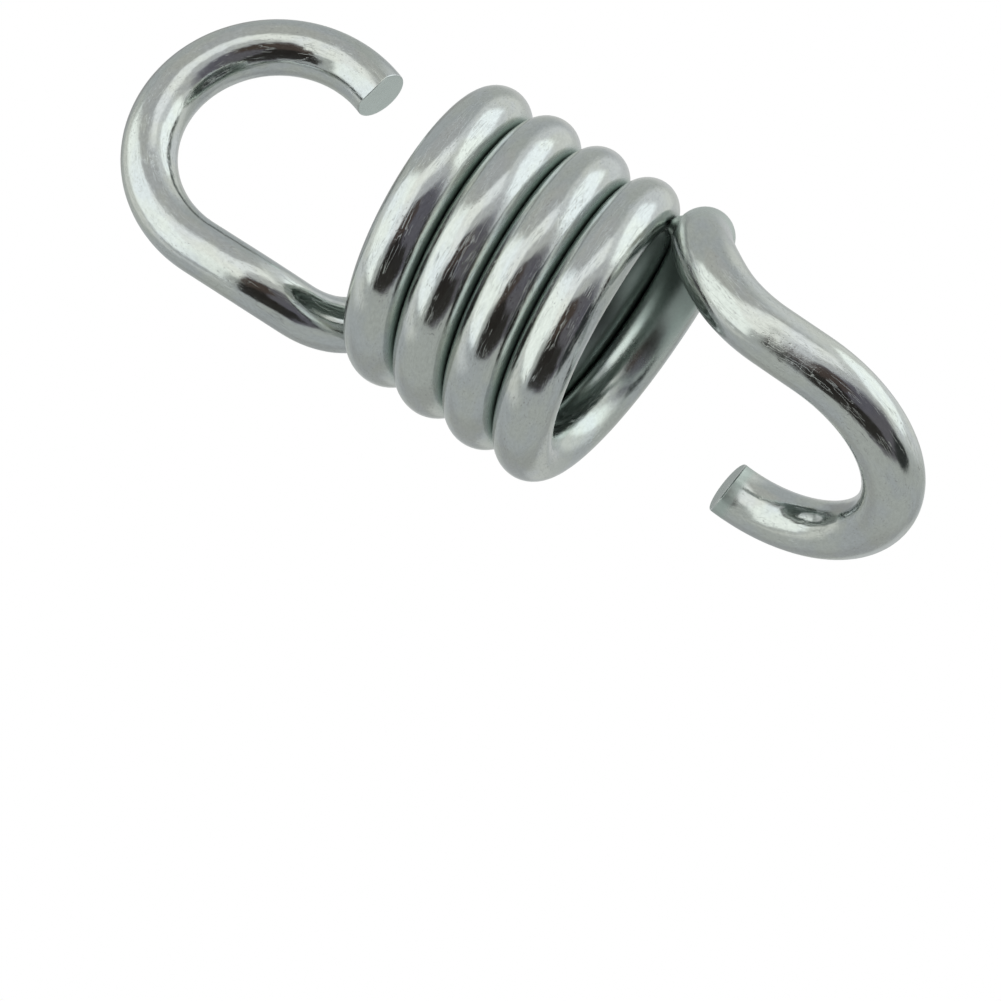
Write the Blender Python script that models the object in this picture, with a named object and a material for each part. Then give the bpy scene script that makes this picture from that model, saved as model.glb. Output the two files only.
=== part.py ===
"""Close-wound extension spring with an open hook at each end, in metres, +Z up.

The spring is one round steel wire. The middle is a helix whose turns lie against each other. Each
end is laid out as a wire bender makes it, from a short table of bends: turn the wire about its own
length, bend it at an inside radius, then feed a straight run.

The spring hangs from its upper hook. The origin is the top of that hook's inside, where a hanger
carries it. The coil's axis is parallel to Z, and the upper hook's loop stands in the XZ plane.
"""
import math
from collections import namedtuple

import bmesh
import bpy
from mathutils import Matrix, Vector

# Wire and coil
WIRE_DIAMETER = 0.0080
COIL_OUTER_DIAMETER = 0.0444
TURN_GAP = 0.0001
COIL_TURNS = 4.439

# Upper hook, from the coil outwards. Forming it has drawn the last stretch of coil, the lead, away from
# its neighbour. Then come three bends, each after a roll that turns the wire about its own length.
UPPER_ROOT_ROLL_DEG = 58.7
UPPER_ROOT_INSIDE_RADIUS = 0.0113
UPPER_ROOT_BEND_DEG = 56.0
UPPER_SWEEP_ROLL_DEG = 53.4
UPPER_SWEEP_INSIDE_RADIUS = 0.0099
UPPER_SWEEP_BEND_DEG = 40.1
UPPER_SHANK_LENGTH = 0.0065
UPPER_LOOP_ROLL_DEG = -71.8
UPPER_LOOP_INSIDE_RADIUS = 0.0138
UPPER_LOOP_BEND_DEG = 202.0
UPPER_LEAD_DEG = 100.1
UPPER_LEAD_RISE = 0.0004
UPPER_LEAD_SPREAD = 0.0002

# Lower hook: the same bends, as they came out at this end
LOWER_ROOT_ROLL_DEG = 68.4
LOWER_ROOT_INSIDE_RADIUS = 0.0134
LOWER_ROOT_BEND_DEG = 49.4
LOWER_SWEEP_ROLL_DEG = 30.4
LOWER_SWEEP_INSIDE_RADIUS = 0.0103
LOWER_SWEEP_BEND_DEG = 39.4
LOWER_SHANK_LENGTH = 0.0062
LOWER_LOOP_ROLL_DEG = -67.6
LOWER_LOOP_INSIDE_RADIUS = 0.0136
LOWER_LOOP_BEND_DEG = 185.4
LOWER_LEAD_DEG = 97.6
LOWER_LEAD_RISE = 0.0007
LOWER_LEAD_SPREAD = 0.0007

# Cut ends: how far the shear leaned from square, and in which direction round the wire the long side
# lies, from the outside of the loop
UPPER_CUT_TILT_DEG = 3.0
UPPER_CUT_TURN_DEG = 0.0
LOWER_CUT_TILT_DEG = 8.0
LOWER_CUT_TURN_DEG = -32.0

# Facets: the sections' spacing and the weld are shares of the wire's diameter
SECTION_SPACING_SHARE = 0.27
MOST_DEGREES_PER_SECTION = 11.0
WIRE_BEVEL_RESOLUTION = 4
WELD_SHARE = 0.001
SHARP_EDGE_DEG = 50.0
SLOPE_STEP_DEG = 0.01

# Surface
ZINC_COLOR = (0.60, 0.635, 0.635, 1.0)
ZINC_ROUGHNESS = 0.28

WIRE_RADIUS = WIRE_DIAMETER / 2
COIL_MEAN_RADIUS = (COIL_OUTER_DIAMETER - WIRE_DIAMETER) / 2
TURN_PITCH = WIRE_DIAMETER + TURN_GAP
COIL_ANGLE = math.tau * COIL_TURNS
SECTION_SPACING = WIRE_DIAMETER * SECTION_SPACING_SHARE
WELD_DISTANCE = WIRE_DIAMETER * WELD_SHARE
SLOPE_STEP = math.radians(SLOPE_STEP_DEG)

Lead = namedtuple("Lead", "angle rise spread")
Bend = namedtuple("Bend", "roll inside_radius angle straight")
Cut = namedtuple("Cut", "tilt turn")
Loop = namedtuple("Loop", "centre mean_radius normal")

UPPER_LEAD = Lead(math.radians(UPPER_LEAD_DEG), UPPER_LEAD_RISE, UPPER_LEAD_SPREAD)
LOWER_LEAD = Lead(math.radians(LOWER_LEAD_DEG), LOWER_LEAD_RISE, LOWER_LEAD_SPREAD)
UPPER_BENDS = (
    Bend(UPPER_ROOT_ROLL_DEG, UPPER_ROOT_INSIDE_RADIUS, UPPER_ROOT_BEND_DEG, 0),
    Bend(UPPER_SWEEP_ROLL_DEG, UPPER_SWEEP_INSIDE_RADIUS, UPPER_SWEEP_BEND_DEG, UPPER_SHANK_LENGTH),
    Bend(UPPER_LOOP_ROLL_DEG, UPPER_LOOP_INSIDE_RADIUS, UPPER_LOOP_BEND_DEG, 0),
)
LOWER_BENDS = (
    Bend(LOWER_ROOT_ROLL_DEG, LOWER_ROOT_INSIDE_RADIUS, LOWER_ROOT_BEND_DEG, 0),
    Bend(LOWER_SWEEP_ROLL_DEG, LOWER_SWEEP_INSIDE_RADIUS, LOWER_SWEEP_BEND_DEG, LOWER_SHANK_LENGTH),
    Bend(LOWER_LOOP_ROLL_DEG, LOWER_LOOP_INSIDE_RADIUS, LOWER_LOOP_BEND_DEG, 0),
)
UPPER_CUT = Cut(math.radians(UPPER_CUT_TILT_DEG), math.radians(UPPER_CUT_TURN_DEG))
LOWER_CUT = Cut(math.radians(LOWER_CUT_TILT_DEG), math.radians(LOWER_CUT_TURN_DEG))


def clear_scene():
    """Remove every object of the open scene."""
    for thing in list(bpy.data.objects):
        bpy.data.objects.remove(thing, do_unlink=True)


def lead_share(angle_to_root, lead):
    """How far the wire has left the plain helix: 0 along the coil, rising as a square to 1 at the root."""
    return max(0.0, 1.0 - angle_to_root / lead.angle) ** 2


def coil_point(angle):
    """The coil's centreline at an angle, measured from the lower root up to the upper one."""
    upper = lead_share(COIL_ANGLE - angle, UPPER_LEAD)
    lower = lead_share(angle, LOWER_LEAD)
    radius = COIL_MEAN_RADIUS + UPPER_LEAD.spread * upper + LOWER_LEAD.spread * lower
    height = TURN_PITCH * angle / math.tau + UPPER_LEAD.rise * upper - LOWER_LEAD.rise * lower
    return Vector((radius * math.cos(angle), radius * math.sin(angle), height))


def coil_heading(angle):
    """Unit direction of the centreline, upwards along the coil."""
    return (coil_point(angle + SLOPE_STEP) - coil_point(angle - SLOPE_STEP)).normalized()


def coil_points():
    """The helix from the lower root to the upper one, both ends included."""
    sections = math.ceil(COIL_ANGLE * COIL_MEAN_RADIUS / SECTION_SPACING)
    return [coil_point(COIL_ANGLE * i / sections) for i in range(sections + 1)]


class WireEnd:
    """The free end of the wire: its place, its heading and the side that it bends towards."""

    def __init__(self, place, heading):
        """Start at a root of the coil, with the coil's axis as the side."""
        self.place = place
        self.heading = heading
        inward = Vector((-place.x, -place.y, 0.0))
        self.side = (inward - heading * inward.dot(heading)).normalized()
        self.points = []
        self.last_loop = None

    def roll(self, degrees):
        """Turn the wire about its own length."""
        self.side = Matrix.Rotation(math.radians(degrees), 3, self.heading) @ self.side

    def bend(self, inside_radius, degrees):
        """Bend towards the side, round a former of the inside radius."""
        radius = inside_radius + WIRE_RADIUS
        angle = math.radians(degrees)
        centre = self.place + radius * self.side
        normal = self.heading.cross(self.side)
        spoke = -radius * self.side
        sections = math.ceil(max(radius * angle / SECTION_SPACING, degrees / MOST_DEGREES_PER_SECTION))
        for i in range(1, sections + 1):
            turned = Matrix.Rotation(angle * i / sections, 3, normal) @ spoke
            self.points.append(centre + turned)
        turn = Matrix.Rotation(angle, 3, normal)
        self.place = self.points[-1].copy()
        self.heading = turn @ self.heading
        self.side = turn @ self.side
        self.last_loop = Loop(centre, radius, normal)

    def feed(self, length):
        """Go straight on."""
        sections = math.ceil(length / SECTION_SPACING)
        start = self.place
        for i in range(1, sections + 1):
            self.points.append(start + self.heading * (length * i / sections))
        self.place = start + self.heading * length


def form_hook(place, heading, bends):
    """Lay out one end of the wire from its table of bends."""
    end = WireEnd(place, heading)
    for row in bends:
        end.roll(row.roll)
        end.bend(row.inside_radius, row.angle)
        end.feed(row.straight)
    return end


def part_frame(loop):
    """The move that stands the upper loop in the XZ plane and puts its inside top at the origin."""
    facing = math.atan2(loop.normal.x, loop.normal.y)
    turn = Matrix.Rotation(facing, 4, "Z")
    in_plane_up = (Vector((0.0, 0.0, 1.0)) - loop.normal * loop.normal.z).normalized()
    seat = loop.centre + in_plane_up * (loop.mean_radius - WIRE_RADIUS)
    return turn @ Matrix.Translation(-seat)


def wire_tube(name, points):
    """A round tube along the points, as a curve with closed ends."""
    curve = bpy.data.curves.new(name, "CURVE")
    curve.dimensions = "3D"
    curve.twist_mode = "MINIMUM"
    curve.bevel_depth = WIRE_RADIUS
    curve.bevel_resolution = WIRE_BEVEL_RESOLUTION
    curve.use_fill_caps = True
    spline = curve.splines.new("POLY")
    spline.points.add(len(points) - 1)
    for spot, point in zip(spline.points, points):
        spot.co = (point.x, point.y, point.z, 1.0)
    tube = bpy.data.objects.new(name, curve)
    bpy.context.scene.collection.objects.link(tube)
    return tube


def mesh_from_curve(tube, collection):
    """The curve's surface as a mesh object of the same name, with its end caps welded on."""
    name = tube.name
    bpy.context.view_layer.update()
    evaluated = tube.evaluated_get(bpy.context.evaluated_depsgraph_get())
    mesh = bpy.data.meshes.new_from_object(evaluated)
    place = tube.matrix_world.copy()
    bpy.data.objects.remove(tube, do_unlink=True)
    shape = bmesh.new()
    shape.from_mesh(mesh)
    bmesh.ops.remove_doubles(shape, verts=shape.verts, dist=WELD_DISTANCE)
    bmesh.ops.recalc_face_normals(shape, faces=shape.faces)
    shape.to_mesh(mesh)
    shape.free()
    solid = bpy.data.objects.new(name, mesh)
    solid.matrix_world = place
    collection.objects.link(solid)
    return solid


def slant_end(mesh, tip, outward, loop_centre, cut):
    """Lean the flat end at the tip, as the shear leaves it, by sliding its rim along the wire."""
    across = (tip - loop_centre).normalized()
    lean = Matrix.Rotation(cut.turn, 3, outward) @ across
    for vertex in mesh.vertices:
        offset = vertex.co - tip
        on_end = abs(offset.dot(outward)) < WELD_DISTANCE and offset.length < WIRE_DIAMETER
        if on_end:
            vertex.co += outward * (offset.dot(lean) * math.tan(cut.tilt))


def zinc_material():
    """Bright zinc plate on steel."""
    material = bpy.data.materials.new("zinc_plate")
    material.use_nodes = True
    shader = material.node_tree.nodes["Principled BSDF"]
    shader.inputs["Base Color"].default_value = ZINC_COLOR
    shader.inputs["Metallic"].default_value = 1.0
    shader.inputs["Roughness"].default_value = ZINC_ROUGHNESS
    material.diffuse_color = ZINC_COLOR
    return material


def build_spring(collection):
    """The whole wire: lower hook, coil and upper hook, moved to the part's own frame."""
    coil = coil_points()
    upper = form_hook(coil[-1], coil_heading(COIL_ANGLE), UPPER_BENDS)
    lower = form_hook(coil[0], -coil_heading(0.0), LOWER_BENDS)
    move = part_frame(upper.last_loop)
    points = [move @ point for point in lower.points[::-1] + coil + upper.points]
    spring = mesh_from_curve(wire_tube("spring_wire", points), collection)
    for end, cut in ((upper, UPPER_CUT), (lower, LOWER_CUT)):
        tip = move @ end.place
        slant_end(spring.data, tip, move.to_3x3() @ end.heading, move @ end.last_loop.centre, cut)
    spring.data.materials.append(zinc_material())
    spring.data.shade_smooth()
    spring.data.set_sharp_from_angle(angle=math.radians(SHARP_EDGE_DEG))
    return spring


def main():
    """Build the spring in its own collection."""
    clear_scene()
    collection = bpy.data.collections.new("swing_hanger_spring")
    bpy.context.scene.collection.children.link(collection)
    build_spring(collection)


main()
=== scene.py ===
"""A zinc-plated hanger spring in a white studio, in metres, +Z up.

The wire is drawn round and fine along the same bends as its solid, with sheared and deburred ends.
Its plating is nearly a mirror, so most of its look is the studio round it: two soft boxes, pale walls
and the dark camera side. The studio is laid out in the camera's axes and then stands still.
"""
import math
from collections import namedtuple

import bpy
import numpy as np
from mathutils import Matrix, Vector


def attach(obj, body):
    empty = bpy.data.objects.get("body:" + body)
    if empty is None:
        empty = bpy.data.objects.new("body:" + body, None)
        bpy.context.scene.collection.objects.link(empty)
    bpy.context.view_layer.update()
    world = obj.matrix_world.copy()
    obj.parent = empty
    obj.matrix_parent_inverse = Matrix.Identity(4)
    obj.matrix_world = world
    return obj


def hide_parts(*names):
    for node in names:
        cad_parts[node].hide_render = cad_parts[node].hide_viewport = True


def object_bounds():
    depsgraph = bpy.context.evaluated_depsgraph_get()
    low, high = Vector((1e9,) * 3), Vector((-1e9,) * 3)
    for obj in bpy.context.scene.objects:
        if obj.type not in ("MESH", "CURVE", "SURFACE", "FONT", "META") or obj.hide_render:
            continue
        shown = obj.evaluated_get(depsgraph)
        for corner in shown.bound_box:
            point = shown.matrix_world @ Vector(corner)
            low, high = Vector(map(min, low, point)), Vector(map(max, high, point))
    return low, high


# Wire, as in the solid
WIRE_DIAMETER = 0.0080
WIRE_RADIUS = WIRE_DIAMETER / 2
COIL_MEAN_RADIUS = 0.0182
TURN_PITCH = 0.0081
COIL_ANGLE = math.tau * 4.439

Lead = namedtuple("Lead", "angle rise spread")
Bend = namedtuple("Bend", "roll inside_radius angle straight")
UPPER_LEAD = Lead(math.radians(100.1), 0.0004, 0.0002)
LOWER_LEAD = Lead(math.radians(97.6), 0.0007, 0.0007)
UPPER_BENDS = (
    Bend(58.7, 0.0113, 56.0, 0),
    Bend(53.4, 0.0099, 40.1, 0.0065),
    Bend(-71.8, 0.0138, 202.0, 0),
)
LOWER_BENDS = (
    Bend(68.4, 0.0134, 49.4, 0),
    Bend(30.4, 0.0103, 39.4, 0.0062),
    Bend(-67.6, 0.0136, 185.4, 0),
)

# Cut ends: how far the shear leaned from square, and on one side a lip where the wire broke, which rises
# from a straight crease. Directions are round the wire, from the outside of the loop.
Cut = namedtuple("Cut", "tilt turn lip_turn lip_from lip_slope")
UPPER_CUT = Cut(2.7, 180.0, 116.4, 0.0030, 0.55)
LOWER_CUT = Cut(11.0, -32.0, 148.0, 0.0005, 0.20)
LIP_CREASE = 0.00006
# The rim in pairs, of how far in from the skin and how far below the face. Its first rings are still skin
RIM_ROUNDING = ((0.0, 0.00013), (0.00005, 0.00004), (0.00013, 0.0))
RIM_SKIN_RINGS = 2
FACE_SHARES = (0.93, 0.86, 0.78, 0.70, 0.62, 0.54, 0.46, 0.38, 0.28, 0.14)
# The wire leans over to a slanting cut along this length
TIP_STRETCH = 0.003

# Fineness of the drawn wire: rings stand closer near its ends
FINE_SPACING = 0.00015
RINGS_SKIPPED = 4
SIDES = 48

# Other turns are those further off than this along the wire. Where one touches or nearly does, the wire is
# filled out towards it along a line of this width. What is left of a slit, and the gaps over which the
# fill fades out
OWN_LENGTH = 0.025
CONTACT_WIDTH = 0.00035
SLIT_LEFT = 0.00005
CONTACT_FADE = (0.0009, 0.0012)

# Plating stays dull in the slits between turns, and less so in the bore and at the roots of the hooks, and
# the same share paints shade there: a darker, greener colour. The bore is dullest and most shaded near the
# coil's ends and far from them. The shear scuffed the wire at the lower cut, which dulls it there too.
# Pairs of lengths are where a change begins and ends, along the wire
SLIT_DEPTH = 0.0008
BORE_SHARES = (0.25, 0.70)
BORE_DEPTHS = (0.075, 0.110)
BORE_END = (0.014, 0.040)
BORE_FACING = (0.15, 0.65)
ROOT_SHARE = 0.46
ROOT_LENGTH = 0.012
ROOT_FADE = 0.006
TIP_SHARE = 0.50
TIP_SCUFFED = (0.0012, 0.0034)

# Camera of the photograph, in the part's frame
CAMERA_PLACE = Vector((-0.10293, -0.24669, -0.11868))
CAMERA_RIGHT = Vector((0.572, -0.01954, -0.82002))
CAMERA_UP = Vector((0.76425, -0.35035, 0.54145))
CAMERA_FOCAL_PIXELS = 1981.6
PICTURE_PIXELS = 1001
SENSOR_WIDTH = 36.0
CAMERA_NEAR = 0.01

FLOOR_DROP = 0.30
FLOOR_SIZE = 0.60
FLOOR_PAPER = (0.80, 0.80, 0.80, 1.0)
FLOOR_GLOW = (0.5, 0.5, 0.5, 1.0)

# Zinc plate. A layer is noise with so many lumps to a millimetre, along the wire and across it
MILLIMETRE = 0.001
Layer = namedtuple("Layer", "along across detail roughness")
LINES = Layer(0.30, 5.0, 3.0, 0.6)
GRAIN = Layer(1.6, 2.6, 4.0, 0.65)
SWELL = Layer(0.22, 0.45, 2.0, 0.5)
SCRATCH_FIELD = Layer(0.16, 1.5, 2.0, 0.7)
SCRATCH_AREAS = Layer(0.25, 0.5, 2.0, 0.5)
PIT_FIELD = Layer(2.6, 4.8, 2.0, 0.5)
PIT_AREAS = Layer(0.17, 0.31, 2.0, 0.5)
DRIFT = Layer(0.14, 0.26, 3.0, 0.5)

# Where a thing sets in and where it is whole, on the 0 to 1 scale of its layer or of the shelter
DULL_AND_SHADE_RANGE = (0.06, 0.66)
SHADE_RANGE = (0.48, 0.93)
SCRATCH_LINE = (0.012, 0.0)
SCRATCH_RANGE = (0.44, 0.60)
PIT_RANGE = (0.61, 0.71)
PIT_AREA_RANGE = (0.42, 0.58)
DRIFT_RANGE = (0.38, 0.62)
MOTTLE_RANGE = (0.30, 0.70)
SWELL_RANGE = (0.3, 0.7)
GRAIN_RANGE = (0.35, 0.75)

BLUISH = (0.597, 0.624, 0.628, 1.0)
CREAM = (0.620, 0.643, 0.602, 1.0)
CUT_STEEL = (0.66, 0.725, 0.70, 1.0)
# Painted shade: the darker, greener colour of the slits, the bore and the roots of the hooks
SHADED_DULL_PLATE = (0.53, 0.61, 0.57, 1.0)
# Painted shade: the near-black colour where the shelter is deepest
DEEP_SHADE = (0.07, 0.09, 0.08, 1.0)
PIT_GREY = (0.47, 0.48, 0.46, 1.0)
MOTTLE_DARK, MOTTLE_PALE = 0.94, 1.04

SWELL_BLUR = (0.09, 0.13)
GRAIN_BLUR = (0.0, 0.05)
CUT_BLUR, DULL_BLUR, PIT_BLUR = 0.14, 0.30, 0.1

# Relief in millimetres, and how much of it the cuts and the dull plate lose
LINE_HEIGHT, GRAIN_HEIGHT, SWELL_HEIGHT = 0.0050, 0.0045, 0.070
PIT_DEPTH, SCRATCH_DEPTH = 0.0045, 0.012
CUT_FLATNESS, DULL_FLATNESS = 0.90, 0.85


def lead_share(angle_to_root, lead):
    """How far the wire has left the plain helix, from 0 along the coil to 1 at the root."""
    return max(0.0, 1.0 - angle_to_root / lead.angle) ** 2


def coil_point(angle):
    """The coil's centreline at an angle, from the lower root up to the upper one."""
    upper = lead_share(COIL_ANGLE - angle, UPPER_LEAD)
    lower = lead_share(angle, LOWER_LEAD)
    radius = COIL_MEAN_RADIUS + UPPER_LEAD.spread * upper + LOWER_LEAD.spread * lower
    height = TURN_PITCH * angle / math.tau + UPPER_LEAD.rise * upper - LOWER_LEAD.rise * lower
    return Vector((radius * math.cos(angle), radius * math.sin(angle), height))


def coil_heading(angle):
    """Unit direction of the centreline, upwards along the coil."""
    step = math.radians(0.01)
    return (coil_point(angle + step) - coil_point(angle - step)).normalized()


class WireEnd:
    """The free end of the wire, laid out bend by bend."""

    def __init__(self, place, heading):
        self.place = place
        self.heading = heading
        inward = Vector((-place.x, -place.y, 0.0))
        self.side = (inward - heading * inward.dot(heading)).normalized()
        self.points = []
        self.loop_centre = None
        self.loop_normal = None

    def form(self, row):
        """Roll about the wire's length, bend towards the side and feed straight on."""
        self.side = Matrix.Rotation(math.radians(row.roll), 3, self.heading) @ self.side
        radius = row.inside_radius + WIRE_RADIUS
        angle = math.radians(row.angle)
        centre = self.place + radius * self.side
        normal = self.heading.cross(self.side)
        spoke = -radius * self.side
        sections = math.ceil(radius * angle / FINE_SPACING)
        for i in range(1, sections + 1):
            self.points.append(centre + Matrix.Rotation(angle * i / sections, 3, normal) @ spoke)
        turn = Matrix.Rotation(angle, 3, normal)
        self.place = self.points[-1].copy()
        self.heading = turn @ self.heading
        self.side = turn @ self.side
        self.loop_centre, self.loop_normal = centre, normal
        sections = math.ceil(row.straight / FINE_SPACING)
        start = self.place
        for i in range(1, sections + 1):
            self.points.append(start + self.heading * (row.straight * i / sections))
        self.place = start + self.heading * row.straight


def part_frame(end, inside_radius):
    """The move that stands the upper loop in the XZ plane with its inside top at the origin."""
    normal = end.loop_normal
    turn = Matrix.Rotation(math.atan2(normal.x, normal.y), 4, "Z")
    up = (Vector((0.0, 0.0, 1.0)) - normal * normal.z).normalized()
    return turn @ Matrix.Translation(-(end.loop_centre + up * inside_radius))


WireTip = namedtuple("WireTip", "place outward loop_centre cut")


def wire_path():
    """The centreline in the part's frame, lower tip first, its two tips, and the way to the coil's axis.

    That way is a unit direction in the coil and zero in the hooks.
    """
    sections = math.ceil(COIL_ANGLE * COIL_MEAN_RADIUS / FINE_SPACING)
    coil = [coil_point(COIL_ANGLE * i / sections) for i in range(sections + 1)]
    upper = WireEnd(coil[-1], coil_heading(COIL_ANGLE))
    lower = WireEnd(coil[0], -coil_heading(0.0))
    for row in UPPER_BENDS:
        upper.form(row)
    for row in LOWER_BENDS:
        lower.form(row)
    move = part_frame(upper, UPPER_BENDS[-1].inside_radius)
    turn = move.to_3x3()
    points = np.array([move @ point for point in lower.points[::-1] + coil + upper.points])
    tips = []
    for end, cut in ((lower, LOWER_CUT), (upper, UPPER_CUT)):
        place, outward, centre = move @ end.place, turn @ end.heading, move @ end.loop_centre
        tips.append(WireTip(np.array(place), np.array(outward), np.array(centre), cut))
    inward = np.zeros((len(points), 3))
    for i, point in enumerate(coil):
        inward[len(lower.points) + i] = turn @ -Vector((point.x, point.y, 0.0)).normalized()
    return points, tips, inward


def crosswise(points):
    """Two unit directions across the wire at each point, which turn as little as they can."""
    tangents = np.gradient(points, axis=0)
    tangents /= np.linalg.norm(tangents, axis=1)[:, None]
    across = np.empty_like(points)
    side = np.cross(tangents[0], (0.0, 0.0, 1.0))
    for i, tangent in enumerate(tangents):
        side = side - tangent * side.dot(tangent)
        side /= np.linalg.norm(side)
        across[i] = side
    return across, np.cross(tangents, across)


def round_wire(tip, degrees):
    """The crosswise direction at a tip, turned round the wire from the outside of the loop."""
    outside = Vector(tip.place - tip.loop_centre)
    outside = (outside - outside.project(Vector(tip.outward))).normalized()
    return np.array(Matrix.Rotation(math.radians(degrees), 3, tip.outward) @ outside)


def cut_height(tip, offsets):
    """How far the cut face stands out along the wire, at places across it."""
    lean = offsets @ round_wire(tip, tip.cut.turn)
    towards_lip = offsets @ round_wire(tip, tip.cut.lip_turn) - tip.cut.lip_from
    lip = tip.cut.lip_slope * LIP_CREASE * np.logaddexp(0.0, towards_lip / LIP_CREASE)
    return lean * math.tan(math.radians(tip.cut.tilt)) + lip


def lean_towards_cut(skin, tip, from_tip):
    """Lean the last rings step by step towards the cut face, in place."""
    for ring, distance in zip(skin, from_tip):
        if distance < TIP_STRETCH:
            offsets = ring - tip.place
            offsets = offsets - np.outer(offsets @ tip.outward, tip.outward)
            ring += np.outer(cut_height(tip, offsets) * (1.0 - distance / TIP_STRETCH), tip.outward)


def end_rings(rim, tip):
    """Rings that round over the rim and close in over the cut face, with each ring's share of the radius."""
    offsets = rim - tip.place
    offsets = offsets - np.outer(offsets @ tip.outward, tip.outward)
    shares = [1.0 - inset / WIRE_RADIUS for inset, drop in RIM_ROUNDING] + list(FACE_SHARES)
    drops = [drop for inset, drop in RIM_ROUNDING] + [0.0] * len(FACE_SHARES)
    rings = []
    for share, drop in zip(shares, drops):
        inner = offsets * share
        rings.append(tip.place + inner + np.outer(cut_height(tip, inner) - drop, tip.outward))
    return rings, shares


def smooth_step(value, low, high):
    """0 up to the low value and 1 from the high one, eased between them."""
    share = np.clip((value - low) / (high - low), 0.0, 1.0)
    return share * share * (3.0 - 2.0 * share)


def gap_to_others(skin, points, run):
    """Distance from each place on the wire to the surface of the nearest other turn."""
    gap = np.empty(skin.shape[:2])
    for i, places in enumerate(skin):
        others = points[np.abs(run - run[i]) > OWN_LENGTH]
        away = places[:, None] - others[None]
        gap[i] = np.sqrt((away * away).sum(axis=2).min(axis=1)) - WIRE_RADIUS
    return gap


def contact_fill(gap):
    """How far the wire is filled out towards a turn that it touches, and how near that line each place is.

    Two turns in the coil meet halfway. Where the last turn leaves its neighbour, it fills the slit alone.
    """
    nearest = gap.min(axis=1)[:, None]
    near_line = 1.0 - smooth_step(gap - nearest, 0.0, CONTACT_WIDTH)
    contact = near_line * (1.0 - smooth_step(nearest, *CONTACT_FADE))
    return np.maximum(nearest / 2, nearest - SLIT_LEFT) * contact, contact


def dull_and_shade_share(gap, ring, inward, to_coil, run):
    """How dull the plating is at each place, up to 1 in the slits, and how much shade is painted there.

    It is less in the bore and at the roots of the hooks, as dullness and painted shade both, and at the
    lower tip, where the shear scuffed it.
    """
    depth = np.maximum(smooth_step(-to_coil, *BORE_DEPTHS), 1.0 - smooth_step(-to_coil, *BORE_END))
    shares = BORE_SHARES[0] + (BORE_SHARES[1] - BORE_SHARES[0]) * depth
    past_coil = smooth_step(to_coil, 0.0, ROOT_LENGTH)
    within_coil = smooth_step(-to_coil, 0.0, ROOT_FADE)
    # Beyond the coil, the side that faces its axis goes on as at the coil's last ring
    coil = np.flatnonzero(inward.any(axis=1))
    towards_axis = inward[np.clip(np.arange(len(inward)), coil[0], coil[-1])]
    facing = np.einsum("ijk,ik->ij", ring, towards_axis)
    bore = (shares * (1.0 - past_coil))[:, None] * smooth_step(facing, *BORE_FACING)
    root = ROOT_SHARE * (1.0 - past_coil) * (1.0 - within_coil)
    tip = TIP_SHARE * (1.0 - smooth_step(run, *TIP_SCUFFED))
    slit = np.exp(-np.maximum(gap, 0.0) / SLIT_DEPTH)
    return np.maximum(np.maximum(slit, bore), np.maximum(root, tip)[:, None])


def tube_faces(rows):
    """Faces of a closed tube: four corners each along it, and one face over each end."""
    faces = []
    for i in range(rows - 1):
        for j in range(SIDES):
            k = (j + 1) % SIDES
            faces.append((i * SIDES + j, i * SIDES + k, (i + 1) * SIDES + k, (i + 1) * SIDES + j))
    faces.append(tuple(range(SIDES))[::-1])
    faces.append(tuple((rows - 1) * SIDES + j for j in range(SIDES)))
    return faces


def keep_values(mesh, name, kind, values):
    """Keep a value for each corner of the mesh under a name, for the material to read."""
    key = "vector" if kind == "FLOAT_VECTOR" else "value"
    mesh.attributes.new(name, kind, "POINT").data.foreach_set(key, values.ravel())


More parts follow.
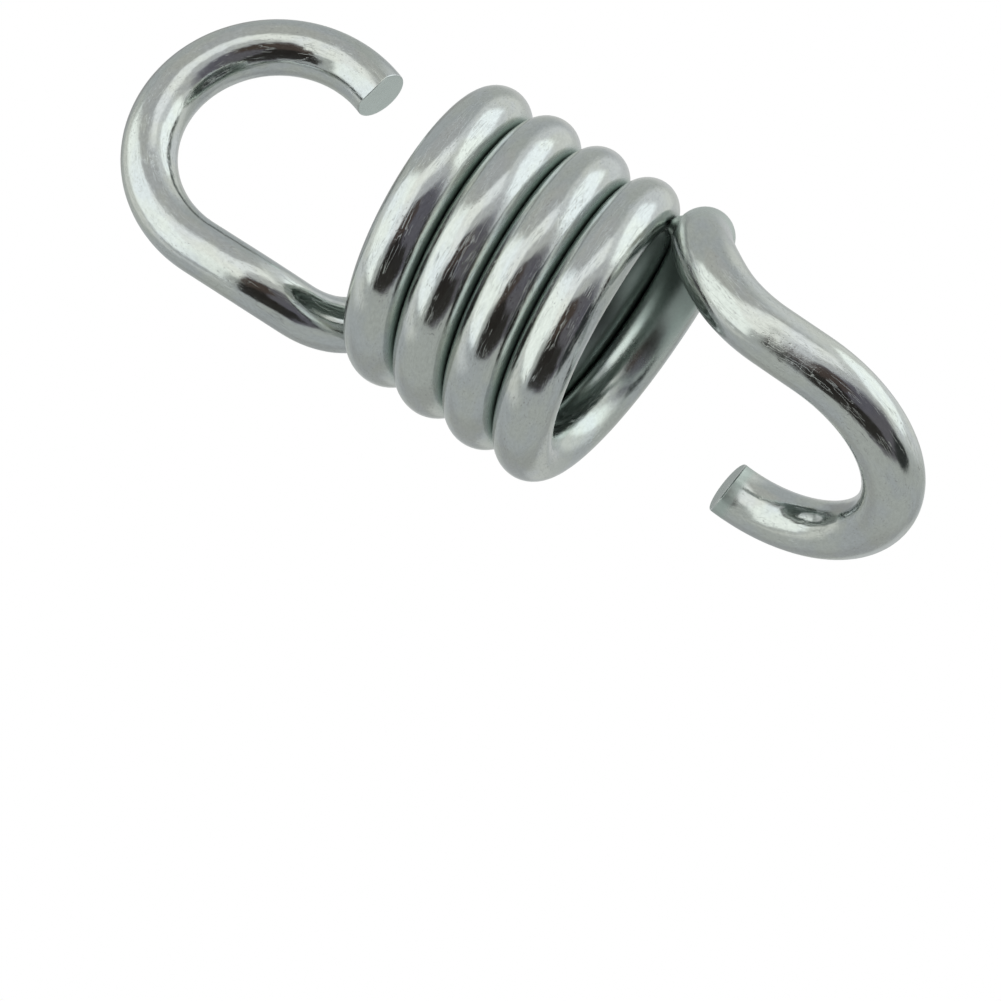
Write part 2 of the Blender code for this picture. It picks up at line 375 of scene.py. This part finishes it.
def wire_mesh():
    """The round wire as one closed mesh.

    It keeps the length along the wire and the place across it, where it is cut, and where it is sheltered,
    which sets its dullness and its painted shade.
    """
    points, tips, inward = wire_path()
    first, second = crosswise(points)
    run = np.concatenate([[0.0], np.cumsum(np.linalg.norm(np.diff(points, axis=0), axis=1))])
    to_tip = np.minimum(run, run[-1] - run)
    kept = (np.arange(len(points)) % RINGS_SKIPPED == 0) | (to_tip < TIP_STRETCH)
    points, first, second, run, inward = (row[kept] for row in (points, first, second, run, inward))
    turns = np.arange(SIDES) * math.tau / SIDES
    ring = np.cos(turns)[None, :, None] * first[:, None] + np.sin(turns)[None, :, None] * second[:, None]
    skin = points[:, None] + WIRE_RADIUS * ring
    gap = gap_to_others(skin, points, run)
    fill, contact = contact_fill(gap)
    skin += fill[..., None] * ring
    coil_runs = run[inward.any(axis=1)]
    to_coil = np.maximum(coil_runs[0] - run, run - coil_runs[-1])
    # Dullness and painted shade share one value: the slits, the bore, the roots and the contact lines, and
    # the scuffed lower tip
    dull_and_shade = np.maximum(dull_and_shade_share(gap, ring, inward, to_coil, run), contact)
    for tip, from_tip in zip(tips, (run, run[-1] - run)):
        lean_towards_cut(skin, tip, from_tip)
    lower_end, shares = end_rings(skin[0], tips[0])
    upper_end, shares = end_rings(skin[-1], tips[1])
    rings = lower_end[::-1] + list(skin[1:-1]) + upper_end
    ends = len(lower_end)
    runs = np.concatenate([np.zeros(ends), run[1:-1], np.full(ends, run[-1])])
    rows = len(rings)
    mesh = bpy.data.meshes.new("spring_wire_fine")
    mesh.from_pydata(np.concatenate(rings).tolist(), [], tube_faces(rows))
    spread = np.empty((rows, SIDES, 3))
    spread[..., 0] = runs[:, None]
    spread[..., 1] = WIRE_RADIUS * np.cos(turns)
    spread[..., 2] = WIRE_RADIUS * np.sin(turns)
    spread[:ends, :, 1:] *= np.array(shares[::-1])[:, None, None]
    spread[rows - ends:, :, 1:] *= np.array(shares)[:, None, None]
    on_cut = np.zeros((rows, SIDES))
    on_cut[:ends - RIM_SKIN_RINGS] = 1.0
    on_cut[rows - ends + RIM_SKIN_RINGS:] = 1.0
    sheltered = np.zeros((rows, SIDES))
    sheltered[ends:rows - ends] = dull_and_shade[1:-1]
    keep_values(mesh, "laid_out", "FLOAT_VECTOR", spread)
    keep_values(mesh, "cut_face", "FLOAT", on_cut)
    keep_values(mesh, "sheltered", "FLOAT", sheltered)
    mesh.shade_smooth()
    return mesh


class Nodes:
    """Short ways to add and link shader nodes."""

    def __init__(self, tree):
        self.tree = tree

    def add(self, kind, **settings):
        node = self.tree.nodes.new(kind)
        for name, value in settings.items():
            setattr(node, name, value)
        return node

    def link(self, source, target):
        if isinstance(source, (int, float, tuple)):
            target.default_value = source
        else:
            self.tree.links.new(source, target)

    def math(self, operation, first, second=0.0):
        node = self.add("ShaderNodeMath", operation=operation)
        self.link(first, node.inputs[0])
        self.link(second, node.inputs[1])
        return node.outputs[0]

    def total(self, *terms):
        sum_so_far = terms[0]
        for term in terms[1:]:
            sum_so_far = self.math("ADD", sum_so_far, term)
        return sum_so_far

    def times(self, value, factor):
        return self.math("MULTIPLY", value, factor)

    def minus(self, value, less):
        return self.math("SUBTRACT", value, less)

    def ramp(self, value, low, high, to_low=0.0, to_high=1.0):
        node = self.add("ShaderNodeMapRange", interpolation_type="SMOOTHSTEP")
        self.link(value, node.inputs["Value"])
        node.inputs["From Min"].default_value = low
        node.inputs["From Max"].default_value = high
        node.inputs["To Min"].default_value = to_low
        node.inputs["To Max"].default_value = to_high
        return node.outputs["Result"]

    def mix(self, share, first, second):
        node = self.add("ShaderNodeMix", data_type="RGBA")
        self.link(share, node.inputs[0])
        self.link(first, node.inputs[6])
        self.link(second, node.inputs[7])
        return node.outputs[2]

    def scaled(self, value, factors):
        node = self.add("ShaderNodeVectorMath", operation="MULTIPLY")
        self.link(value, node.inputs[0])
        node.inputs[1].default_value = factors
        return node.outputs[0]

    def noise(self, place, layer):
        node = self.add("ShaderNodeTexNoise")
        self.link(self.scaled(place, (layer.along, layer.across, layer.across)), node.inputs["Vector"])
        node.inputs["Scale"].default_value = 1.0
        node.inputs["Detail"].default_value = layer.detail
        node.inputs["Roughness"].default_value = layer.roughness
        return node.outputs["Fac"]


def zinc_material():
    """Bright zinc plate: nearly a mirror, with drawing lines, ripples, small pits and scratches.

    In the slits and in the bore it is dull and smooth, with painted shade: a darker, greener colour, darkest
    deep in the slits.
    """
    material = bpy.data.materials.new("zinc_plate_fine")
    material.use_nodes = True
    tree = material.node_tree
    nodes = Nodes(tree)
    shader = tree.nodes["Principled BSDF"]
    metres = nodes.add("ShaderNodeAttribute", attribute_name="laid_out").outputs["Vector"]
    on_cut = nodes.add("ShaderNodeAttribute", attribute_name="cut_face").outputs["Fac"]
    sheltered = nodes.add("ShaderNodeAttribute", attribute_name="sheltered").outputs["Fac"]
    dull_and_shade = nodes.ramp(sheltered, *DULL_AND_SHADE_RANGE)
    on_skin = nodes.minus(1.0, nodes.math("MAXIMUM", on_cut, dull_and_shade))
    place = nodes.scaled(metres, (1.0 / MILLIMETRE, 1.0 / MILLIMETRE, 1.0 / MILLIMETRE))
    grain = nodes.noise(place, GRAIN)
    swell = nodes.noise(place, SWELL)

    # Scratches are the thin lines where a drawn-out noise is halfway, here and there
    off_line = nodes.math("ABSOLUTE", nodes.minus(nodes.noise(place, SCRATCH_FIELD), 0.5))
    scratch_area = nodes.ramp(nodes.noise(place, SCRATCH_AREAS), *SCRATCH_RANGE)
    scratches = nodes.times(nodes.times(nodes.ramp(off_line, *SCRATCH_LINE), scratch_area), on_skin)

    # Pits come in patches, and never on the sheared ends
    pit_area = nodes.ramp(nodes.noise(place, PIT_AREAS), *PIT_AREA_RANGE)
    pits = nodes.times(nodes.ramp(nodes.noise(place, PIT_FIELD), *PIT_RANGE), pit_area)
    pits = nodes.times(pits, on_skin)

    # Colour: a slow drift between a bluish and a cream white, paler on the cuts, and painted shade where
    # sheltered, darker and greener, darkest in the deepest slits
    tint = nodes.mix(nodes.ramp(nodes.noise(place, DRIFT), *DRIFT_RANGE), BLUISH, CREAM)
    tint = nodes.mix(on_cut, tint, CUT_STEEL)
    # Painted shade: darker and greener in the slits, the bore and at the roots of the hooks
    tint = nodes.mix(dull_and_shade, tint, SHADED_DULL_PLATE)
    # Painted shade: near black where the shelter is deepest, at the bottom of the slits and in the bore
    tint = nodes.mix(nodes.ramp(sheltered, *SHADE_RANGE), tint, DEEP_SHADE)
    darker = nodes.scaled(tint, (MOTTLE_DARK, MOTTLE_DARK, MOTTLE_DARK))
    paler = nodes.scaled(tint, (MOTTLE_PALE, MOTTLE_PALE, MOTTLE_PALE))
    mottled = nodes.mix(nodes.ramp(grain, *MOTTLE_RANGE), darker, paler)
    nodes.link(nodes.mix(pits, mottled, PIT_GREY), shader.inputs["Base Color"])

    # Gloss
    swell_blur = nodes.ramp(swell, *SWELL_RANGE, *SWELL_BLUR)
    grain_blur = nodes.ramp(grain, *GRAIN_RANGE, *GRAIN_BLUR)
    blur = nodes.total(swell_blur, grain_blur, nodes.times(on_cut, CUT_BLUR), nodes.times(dull_and_shade, DULL_BLUR),
                       nodes.times(pits, PIT_BLUR))
    nodes.link(blur, shader.inputs["Roughness"])
    shader.inputs["Metallic"].default_value = 1.0

    # Relief in millimetres, which fades where the plate is dull, and on the cuts
    height = nodes.total(nodes.times(nodes.noise(place, LINES), LINE_HEIGHT),
                         nodes.times(grain, GRAIN_HEIGHT), nodes.times(swell, SWELL_HEIGHT))
    height = nodes.minus(height, nodes.times(pits, PIT_DEPTH))
    height = nodes.minus(height, nodes.times(scratches, SCRATCH_DEPTH))
    bump = nodes.add("ShaderNodeBump")
    bump.inputs["Distance"].default_value = MILLIMETRE
    flat = nodes.math("MAXIMUM", nodes.times(on_cut, CUT_FLATNESS), nodes.times(dull_and_shade, DULL_FLATNESS))
    nodes.link(nodes.minus(1.0, flat), bump.inputs["Strength"])
    nodes.link(height, bump.inputs["Height"])
    nodes.link(bump.outputs["Normal"], shader.inputs["Normal"])
    return material


def stage_floor():
    """A plain pale floor under the hanging spring, which glows for the camera alone."""
    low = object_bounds()[0][2] - FLOOR_DROP
    half = FLOOR_SIZE / 2
    mesh = bpy.data.meshes.new("floor")
    corners = [(-half, -half, low), (half, -half, low), (half, half, low), (-half, half, low)]
    mesh.from_pydata(corners, [], [(0, 1, 2, 3)])
    floor = bpy.data.objects.new("floor", mesh)
    bpy.context.scene.collection.objects.link(floor)
    material = bpy.data.materials.new("floor_paper")
    material.use_nodes = True
    tree = material.node_tree
    nodes = Nodes(tree)
    paper = tree.nodes["Principled BSDF"]
    paper.inputs["Base Color"].default_value = FLOOR_PAPER
    paper.inputs["Roughness"].default_value = 1.0
    paper.inputs["Specular IOR Level"].default_value = 0.0
    glow = nodes.add("ShaderNodeEmission")
    glow.inputs["Color"].default_value = FLOOR_GLOW
    camera_ray = nodes.add("ShaderNodeLightPath").outputs["Is Camera Ray"]
    nodes.link(camera_ray, glow.inputs["Strength"])
    both = nodes.add("ShaderNodeAddShader")
    nodes.link(paper.outputs[0], both.inputs[0])
    nodes.link(glow.outputs[0], both.inputs[1])
    nodes.link(both.outputs[0], tree.nodes["Material Output"].inputs["Surface"])
    floor.data.materials.append(material)
    floor.visible_glossy = False


# Studio: patches of colour on a sphere round the spring, each over the ones before it. Corners are
# (right, up) angles in degrees in the camera's axes, in order round the patch, with (0, 0) towards the
# camera. Softness is half the width of the soft edge, in degrees. A corner past the line of another
# edge is cut off by that line, so each patch is convex.
Patch = namedtuple("Patch", "name color softness corners")
WALL = (0.505, 0.530, 0.526)
STUDIO = (
    Patch("pale right", (0.80, 0.82, 0.81), 8.0,
          ((27, -6), (96, -14), (150, 8), (150, 34), (109, 66), (33, 47))),
    Patch("backdrop", (0.62, 0.635, 0.63), 6.0,
          ((150, -8), (180, -12), (-168, -8), (-168, 10), (180, 28), (152, 30))),
    Patch("dark behind", (0.38, 0.39, 0.385), 5.0,
          ((-172, 8), (-140, 8), (-135, 36), (-172, 40))),
    Patch("ground behind", (0.43, 0.445, 0.44), 8.0,
          ((110, -20), (180, -12), (-110, -20), (-110, -60), (180, -66), (110, -60))),
    Patch("table", (0.60, 0.62, 0.61), 4.0,
          ((146, -16), (176, -16), (178, -37), (144, -37))),
    Patch("left soft box", (1.22, 1.28, 1.27), 3.0,
          ((-107, 24), (-28, 62), (-2, 40), (-5, 25), (-63, -29))),
    Patch("left edge", (0.76, 0.78, 0.76), 6.0,
          ((-114, 42), (-105, 44), (-72, -44), (-125, 11))),
    Patch("front wall", (1.12, 1.14, 1.12), 4.0,
          ((-32, 53), (42, 48), (34, 8), (-34, -10))),
    Patch("right soft box", (1.30, 1.37, 1.36), 3.0,
          ((56, 13), (62, 42), (102, 53), (120, 29), (98, 4), (84, -5))),
    Patch("ceiling", (0.54, 0.55, 0.54), 4.0,
          ((-110, 78), (-79, 45), (-23, 39), (2, 46), (45, 51), (70, 80))),
    Patch("shelf", (0.60, 0.61, 0.61), 4.0,
          ((-1, 24), (48, 22), (62, 2), (40, -4), (-13, 1))),
    Patch("lilac side", (0.28, 0.28, 0.30), 4.0,
          ((20, 8), (40, 8), (57, 1), (67, -12), (40, -24), (20, -10))),
    Patch("camera side", (0.145, 0.138, 0.160), 1.5,
          ((-8, 9), (28, 6), (46, -3), (63, -15), (82, -30), (80, -44), (74, -52), (21, -66),
           (-42, -62), (-54, -42), (-41, -28), (-32, -18))),
    Patch("low dark", (0.036, 0.034, 0.032), 2.0,
          ((-58, -43), (-37, -22), (4, -27), (34, -36), (50, -54), (20, -61), (-40, -59))),
    Patch("brown chair", (0.084, 0.064, 0.057), 2.0,
          ((-10, 6), (14, 5), (19, -10), (2, -19), (-35, -22))),
    Patch("camera", (0.028, 0.025, 0.023), 2.0,
          ((-29, -16), (2, -17), (11, -36), (-15, -42), (-35, -27))),
    Patch("dark right", (0.040, 0.044, 0.044), 2.5,
          ((59, -16), (76, -18), (86, -26), (84, -38), (70, -52), (52, -46))),
)


def towards(right, up, axes):
    """Unit direction in the part's frame from angles in the camera's axes."""
    right, up = math.radians(right), math.radians(up)
    local = Vector((math.sin(right) * math.cos(up), math.sin(up), math.cos(right) * math.cos(up)))
    return axes @ local


def patch_mask(nodes, direction, patch, axes):
    """1 inside the polygon and 0 outside, over a soft edge."""
    corners = [towards(right, up, axes) for right, up in patch.corners]
    middle = sum(corners, Vector())
    soft = math.sin(math.radians(patch.softness))
    mask = None
    for start, stop in zip(corners, corners[1:] + corners[:1]):
        edge = start.cross(stop).normalized()
        if edge.dot(middle) < 0.0:
            edge = -edge
        dot = nodes.add("ShaderNodeVectorMath", operation="DOT_PRODUCT")
        nodes.link(direction, dot.inputs[0])
        dot.inputs[1].default_value = edge
        inside = nodes.ramp(dot.outputs["Value"], -soft, soft)
        mask = inside if mask is None else nodes.times(mask, inside)
    return mask


def studio_world(axes):
    """The studio as reflections and light see it, and plain white to the camera."""
    world = bpy.data.worlds.new("studio")
    bpy.context.scene.world = world
    world.use_nodes = True
    tree = world.node_tree
    nodes = Nodes(tree)
    background = tree.nodes["Background"]
    direction = nodes.add("ShaderNodeTexCoord").outputs["Generated"]
    color = (*WALL, 1.0)
    for patch in STUDIO:
        color = nodes.mix(patch_mask(nodes, direction, patch, axes), color, (*patch.color, 1.0))
        color.node.label = patch.name
    nodes.link(color, background.inputs["Color"])
    background.inputs["Strength"].default_value = 1.0
    white = nodes.add("ShaderNodeBackground")
    white.inputs["Color"].default_value = (1.0, 1.0, 1.0, 1.0)
    white.inputs["Strength"].default_value = 1.0
    choice = nodes.add("ShaderNodeMixShader")
    nodes.link(nodes.add("ShaderNodeLightPath").outputs["Is Camera Ray"], choice.inputs[0])
    nodes.link(background.outputs[0], choice.inputs[1])
    nodes.link(white.outputs[0], choice.inputs[2])
    nodes.link(choice.outputs[0], tree.nodes["World Output"].inputs["Surface"])


def place_camera():
    """The photograph's camera, and its axes as columns."""
    right = CAMERA_RIGHT.normalized()
    up = (CAMERA_UP - right * CAMERA_UP.dot(right)).normalized()
    back = right.cross(up)
    axes = Matrix((right, up, back)).transposed()
    data = bpy.data.cameras.new("photo_camera")
    data.sensor_width = SENSOR_WIDTH
    data.lens = CAMERA_FOCAL_PIXELS * SENSOR_WIDTH / PICTURE_PIXELS
    data.clip_start = CAMERA_NEAR
    camera = bpy.data.objects.new("photo_camera", data)
    bpy.context.scene.collection.objects.link(camera)
    camera.matrix_world = Matrix.Translation(CAMERA_PLACE) @ axes.to_4x4()
    bpy.context.scene.camera = camera
    return axes


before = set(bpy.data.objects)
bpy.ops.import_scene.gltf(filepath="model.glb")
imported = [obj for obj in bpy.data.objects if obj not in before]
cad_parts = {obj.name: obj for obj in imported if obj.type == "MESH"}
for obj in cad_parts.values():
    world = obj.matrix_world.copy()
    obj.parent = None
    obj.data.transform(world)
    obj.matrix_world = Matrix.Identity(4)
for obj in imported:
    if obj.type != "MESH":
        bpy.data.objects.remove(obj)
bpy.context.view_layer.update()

spring = bpy.data.objects.new("spring_wire_fine", wire_mesh())
bpy.context.scene.collection.objects.link(spring)
spring.data.materials.append(zinc_material())
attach(spring, "root")
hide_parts("spring_wire")

stage_floor()
studio_world(place_camera())
bpy.context.scene.view_settings.view_transform = "Standard"
